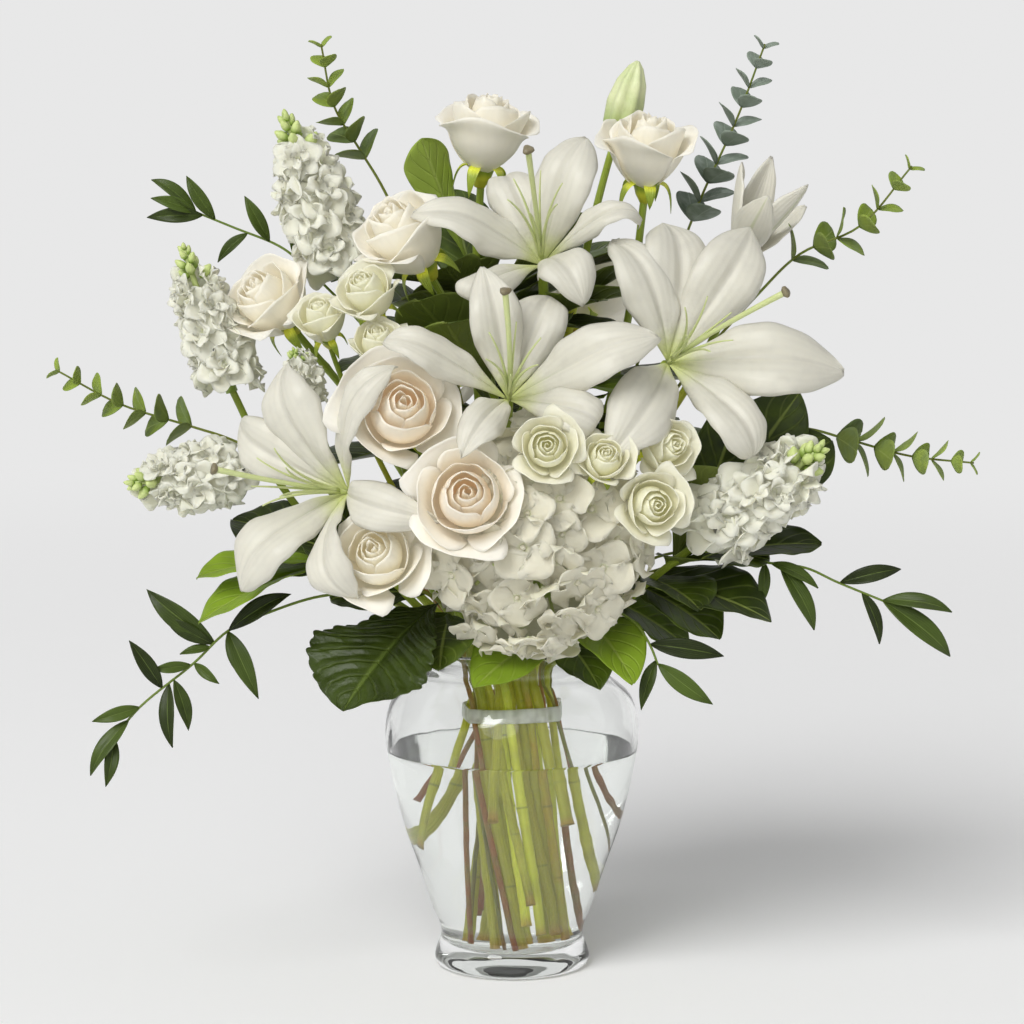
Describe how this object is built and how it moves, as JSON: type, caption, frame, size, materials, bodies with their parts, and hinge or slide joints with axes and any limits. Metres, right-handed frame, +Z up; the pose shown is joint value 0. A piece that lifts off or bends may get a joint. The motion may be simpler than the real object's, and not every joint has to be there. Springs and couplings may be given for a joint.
{
  "type": "lilies in a vase",
  "caption": "Loose bunch of white lilies, cream roses, hydrangea, stock and mixed greens standing in water in a clear glass vase.",
  "frame": {"origin": "centre of the vase's flat underside, on its axis", "axes": "+Z up along the vase's axis, the front of the bunch faces -Y"},
  "size_m": [0.5678, 0.3626, 0.5763],
  "materials": {
    "glass": "clear thick blown glass",
    "water": "clear water",
    "clear_band": "clear soft band",
    "lily_white": "waxy satin petal",
    "lily_green": "waxy satin bud",
    "rose_cream": "velvety petal",
    "spray_white": "velvety petal, green at the heart",
    "hydrangea_white": "matte petal",
    "stock_white": "matte petal",
    "stem_green": "smooth fresh stem",
    "eucalyptus_green": "matte bloomed leaf",
    "ruscus_green": "satin leaf",
    "leaf_green": "glossy leaf"
  },
  "bodies": {
    "root": {"vase": "glass", "water": "water", "stem_band": "clear_band", "broad_leaves_back": "leaf_green", "broad_leaves_left": "leaf_green", "broad_leaves_right": "leaf_green", "broad_leaves_top": "leaf_green", "eucalyptus_left": "eucalyptus_green", "eucalyptus_lower_right": "eucalyptus_green", "eucalyptus_right": "eucalyptus_green", "eucalyptus_top_left": "eucalyptus_green", "eucalyptus_top_right": "eucalyptus_green", "hydrangea": "hydrangea_white", "hydrangea_stem": "stem_green", "lily_bud": "lily_green", "lily_half_open": "lily_white", "lily_left": "lily_white", "lily_middle": "lily_white", "lily_right": "lily_white", "lily_stem_left": "stem_green", "lily_stem_middle": "stem_green", "lily_stem_right": "stem_green", "lily_stem_top": "stem_green", "lily_top": "lily_white", "rose_back_left": "rose_cream", "rose_back_right": "rose_cream", "rose_front": "rose_cream", "rose_left": "rose_cream", "rose_lower_left": "rose_cream", "rose_middle": "rose_cream", "rose_stems_back": "stem_green", "rose_stems_front": "stem_green", "rose_stems_left": "stem_green", "rose_stems_top": "stem_green", "rose_top_left": "rose_cream", "rose_top_right": "rose_cream", "rose_upper_left": "rose_cream", "ruscus_low_front": "ruscus_green", "ruscus_lower_left": "ruscus_green", "ruscus_right": "ruscus_green", "ruscus_upper_left": "ruscus_green", "spray_rose_1": "spray_white", "spray_rose_2": "spray_white", "spray_rose_3": "spray_white", "spray_rose_4": "spray_white", "spray_rose_5": "spray_white", "spray_rose_6": "spray_white", "spray_rose_7": "spray_white", "spray_rose_stem_left": "stem_green", "spray_rose_stem_right": "stem_green", "stock_left": "stock_white", "stock_right": "stock_white", "stock_small": "stock_white", "stock_stem_right": "stem_green", "stock_stems_left": "stem_green", "stock_top_left": "stock_white", "stock_upper_left": "stock_white"}
  },
  "joints": []
}
